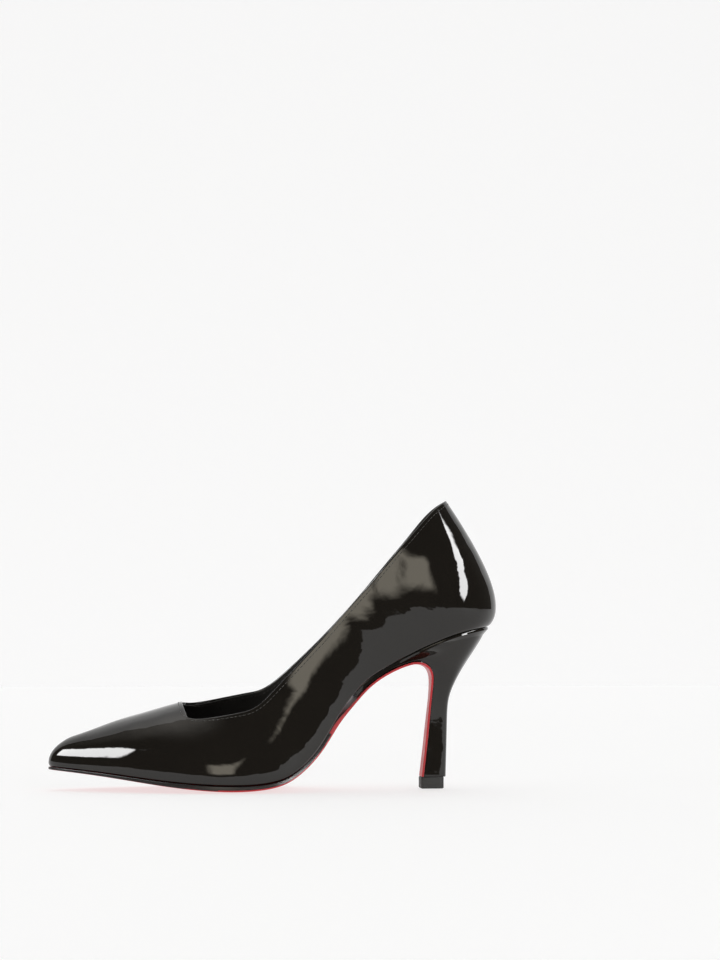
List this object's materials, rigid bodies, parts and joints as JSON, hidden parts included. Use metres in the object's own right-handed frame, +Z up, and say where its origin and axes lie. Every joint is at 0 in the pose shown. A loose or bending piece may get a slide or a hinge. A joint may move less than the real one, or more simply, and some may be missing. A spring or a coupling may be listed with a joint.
{
  "type": "high heel pump",
  "caption": "Pointed-toe court shoe for the left foot with a low-cut patent upper, slim tall covered heel and red leather sole that runs down the heel breast.",
  "frame": {"origin": "middle of the shoe's bounding box in plan, on the ground plane under the sole tread and heel tip", "axes": "+Z up; +X from the toe towards the heel, so the toe points to -X; +Y towards the inner side of the foot, so the outer side faces -Y"},
  "size_m": [0.2386, 0.0768, 0.1533],
  "materials": {
    "patent_leather": "mirror-gloss patent finish",
    "lining_leather": "matte",
    "grip_leather": "brushed nap",
    "toe_stiffener": "matte",
    "heel_stiffener": "fibrous",
    "insole_fibreboard": "compressed fibre",
    "cushion_foam": "open-cell foam",
    "cork_filler": "granular",
    "spring_steel": "plain",
    "sole_leather_red": "satin lacquer with black inked edge",
    "heel_plastic": "moulded",
    "tip_polyurethane": "matte"
  },
  "bodies": {
    "root": {"upper": "patent_leather", "heel_cover": "patent_leather", "vamp_lining": "lining_leather", "quarter_lining_outer": "lining_leather", "quarter_lining_inner": "lining_leather", "sock_lining": "lining_leather", "heel_grip_lining": "grip_leather", "toe_puff": "toe_stiffener", "heel_counter": "heel_stiffener", "insole_board": "insole_fibreboard", "heel_pad": "cushion_foam", "forefoot_pad": "cushion_foam", "bottom_filler": "cork_filler", "steel_shank": "spring_steel", "shank_rivet_rear": "spring_steel", "shank_rivet_front": "spring_steel", "heel_screw": "spring_steel", "heel_nail_1": "spring_steel", "heel_nail_2": "spring_steel", "heel_nail_3": "spring_steel", "heel_nail_4": "spring_steel", "heel_tube": "spring_steel", "top_piece_pin": "spring_steel", "outsole": "sole_leather_red", "heel_block": "heel_plastic", "top_piece": "tip_polyurethane"}
  },
  "joints": []
}
